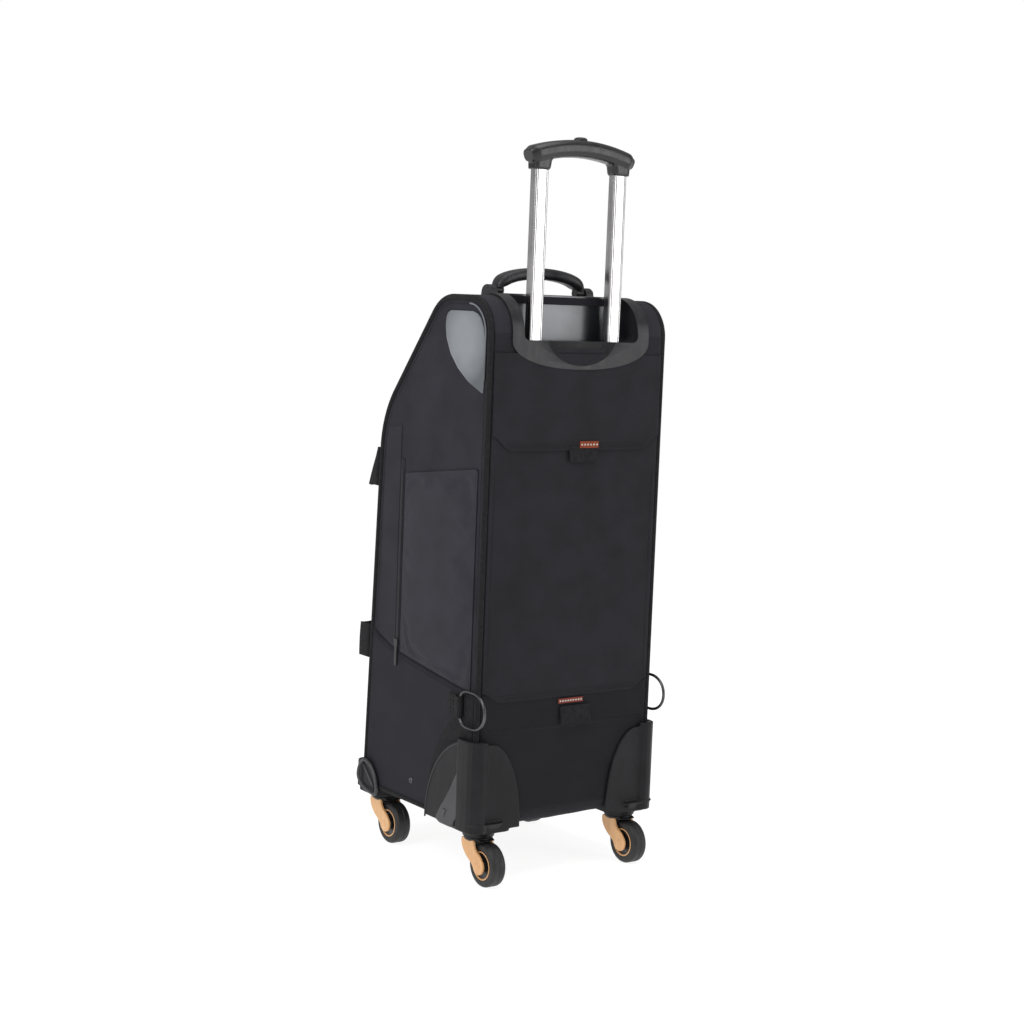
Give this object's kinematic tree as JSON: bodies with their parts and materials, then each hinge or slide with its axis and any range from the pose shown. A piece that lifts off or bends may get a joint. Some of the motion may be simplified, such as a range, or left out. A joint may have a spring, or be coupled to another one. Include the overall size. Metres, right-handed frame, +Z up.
{
  "type": "bowling ball bag",
  "caption": "Upright wheeled bowling bag with stacked ball bays behind a zipped front door, a telescopic trolley handle, a top carry handle and swivel casters.",
  "frame": {"origin": "on the floor under the middle of the bag", "axes": "+Z up along the trolley handle's travel, +Y to the back panel with the trolley handle, +X to the left of a person standing behind the bag"},
  "size_m": [0.311, 0.3315, 0.988],
  "materials": {
    "ballistic_fabric": "matte woven",
    "pocket_fabric": "matte woven, a shade lighter",
    "webbing": "ribbed webbing and piping",
    "black_plastic": "moulded, satin",
    "board_plastic": "stiff board under lining",
    "foam": "lined foam",
    "bright_aluminium": "bright anodised",
    "dark_metal": "blackened",
    "gold_plastic": "satin gold",
    "hub_plastic": "satin black",
    "tyre_rubber": "matte"
  },
  "bodies": {
    "bag": {"side_panel_left": "ballistic_fabric", "side_panel_right": "ballistic_fabric", "back_panel": "ballistic_fabric", "top_panel": "ballistic_fabric", "front_frame": "ballistic_fabric", "back_flap": "ballistic_fabric", "back_pocket": "ballistic_fabric", "side_pocket_left": "pocket_fabric", "side_pocket_right": "pocket_fabric", "piping_left": "webbing", "piping_right": "webbing", "pull_tab_upper": "webbing", "pull_tab_lower": "webbing", "ring_tab_left": "webbing", "ring_tab_right": "webbing", "web_loop_lower_left": "webbing", "web_loop_lower_right": "webbing", "web_loop_upper_left": "webbing", "web_loop_upper_right": "webbing", "handle_anchor_left": "black_plastic", "handle_anchor_right": "black_plastic", "rear_guard_left": "black_plastic", "rear_guard_right": "black_plastic", "front_guard_left": "black_plastic", "front_guard_right": "black_plastic", "trolley_tray": "black_plastic", "base_board": "board_plastic", "liner_board": "board_plastic", "ball_pad_lower": "foam", "ball_pad_upper": "foam", "shelf_lower": "foam", "shelf_upper": "foam", "outer_tube_left": "dark_metal", "outer_tube_right": "dark_metal"},
    "trolley": {"inner_tube_left": "bright_aluminium", "inner_tube_right": "bright_aluminium", "trolley_grip": "black_plastic"},
    "release": {"push_button": "black_plastic", "release_bar": "dark_metal"},
    "carry_handle": {"carry_handle": "black_plastic"},
    "door": {"front_door": "ballistic_fabric", "door_pocket": "pocket_fabric"},
    "door_slider_top": {"door_zip_slider_top": "dark_metal"},
    "door_slider_side": {"door_zip_slider_side": "dark_metal"},
    "side_slider_left": {"side_zip_slider_left": "dark_metal"},
    "side_slider_right": {"side_zip_slider_right": "dark_metal"},
    "ring_left": {"d_ring_left": "dark_metal"},
    "ring_right": {"d_ring_right": "dark_metal"},
    "swivel_rear_left": {"fork_rear_left": "gold_plastic"},
    "wheel_rear_left": {"wheel_hub_rear_left": "hub_plastic", "tyre_rear_left": "tyre_rubber"},
    "swivel_rear_right": {"fork_rear_right": "gold_plastic"},
    "wheel_rear_right": {"wheel_hub_rear_right": "hub_plastic", "tyre_rear_right": "tyre_rubber"},
    "swivel_front_left": {"fork_front_left": "gold_plastic"},
    "wheel_front_left": {"wheel_hub_front_left": "hub_plastic", "tyre_front_left": "tyre_rubber"},
    "swivel_front_right": {"fork_front_right": "gold_plastic"},
    "wheel_front_right": {"wheel_hub_front_right": "hub_plastic", "tyre_front_right": "tyre_rubber"}
  },
  "joints": [
    {"name": "trolley_slide", "type": "slide", "parent": "bag", "child": "trolley", "axis": [0, 0, 1], "range_m": [-0.22, 0]},
    {"name": "button_press", "type": "slide", "parent": "trolley", "child": "release", "axis": [0, 0, 1], "range_m": [-0.005, 0], "stiffness_N_per_m": 1200, "springref_m": 0.004},
    {"name": "carry_handle_pivot", "type": "hinge", "parent": "bag", "child": "carry_handle", "pos_m": [0, 0.041, 0.785], "axis": [1, 0, 0], "range_deg": [-55, 60]},
    {"name": "door_hinge", "type": "hinge", "parent": "bag", "child": "door", "pos_m": [0, -0.14, 0.1237], "axis": [1, 0, 0], "range_deg": [0, 100]},
    {"name": "door_slider_top_run", "type": "slide", "parent": "door", "child": "door_slider_top", "axis": [-1, 0, 0], "range_m": [0, 0.19]},
    {"name": "door_slider_side_run", "type": "slide", "parent": "door", "child": "door_slider_side", "axis": [0, -0.6339, -0.7734], "range_m": [0, 0.06]},
    {"name": "side_slider_left_run", "type": "slide", "parent": "bag", "child": "side_slider_left", "axis": [0, 0, 1], "range_m": [0, 0.225]},
    {"name": "side_slider_right_run", "type": "slide", "parent": "bag", "child": "side_slider_right", "axis": [0, 0, 1], "range_m": [0, 0.225]},
    {"name": "ring_left_swing", "type": "hinge", "parent": "bag", "child": "ring_left", "pos_m": [0.15, 0.108, 0.238], "axis": [0, 0, -1], "range_deg": [0, 150]},
    {"name": "ring_right_swing", "type": "hinge", "parent": "bag", "child": "ring_right", "pos_m": [-0.15, 0.108, 0.238], "axis": [0, 0, 1], "range_deg": [0, 150]},
    {"name": "swivel_rear_left_turn", "type": "hinge", "parent": "bag", "child": "swivel_rear_left", "pos_m": [0.119, 0.117, 0.0616], "axis": [0, 0, 1], "continuous": true},
    {"name": "wheel_rear_left_spin", "type": "hinge", "parent": "swivel_rear_left", "child": "wheel_rear_left", "pos_m": [0.119, 0.141, 0.029], "axis": [1, 0, 0], "continuous": true},
    {"name": "swivel_rear_right_turn", "type": "hinge", "parent": "bag", "child": "swivel_rear_right", "pos_m": [-0.119, 0.117, 0.0616], "axis": [0, 0, 1], "continuous": true},
    {"name": "wheel_rear_right_spin", "type": "hinge", "parent": "swivel_rear_right", "child": "wheel_rear_right", "pos_m": [-0.119, 0.141, 0.029], "axis": [1, 0, 0], "continuous": true},
    {"name": "swivel_front_left_turn", "type": "hinge", "parent": "bag", "child": "swivel_front_left", "pos_m": [0.119, -0.117, 0.0616], "axis": [0, 0, 1], "continuous": true},
    {"name": "wheel_front_left_spin", "type": "hinge", "parent": "swivel_front_left", "child": "wheel_front_left", "pos_m": [0.119, -0.093, 0.029], "axis": [1, 0, 0], "continuous": true},
    {"name": "swivel_front_right_turn", "type": "hinge", "parent": "bag", "child": "swivel_front_right", "pos_m": [-0.119, -0.117, 0.0616], "axis": [0, 0, 1], "continuous": true},
    {"name": "wheel_front_right_spin", "type": "hinge", "parent": "swivel_front_right", "child": "wheel_front_right", "pos_m": [-0.119, -0.093, 0.029], "axis": [1, 0, 0], "continuous": true}
  ]
}
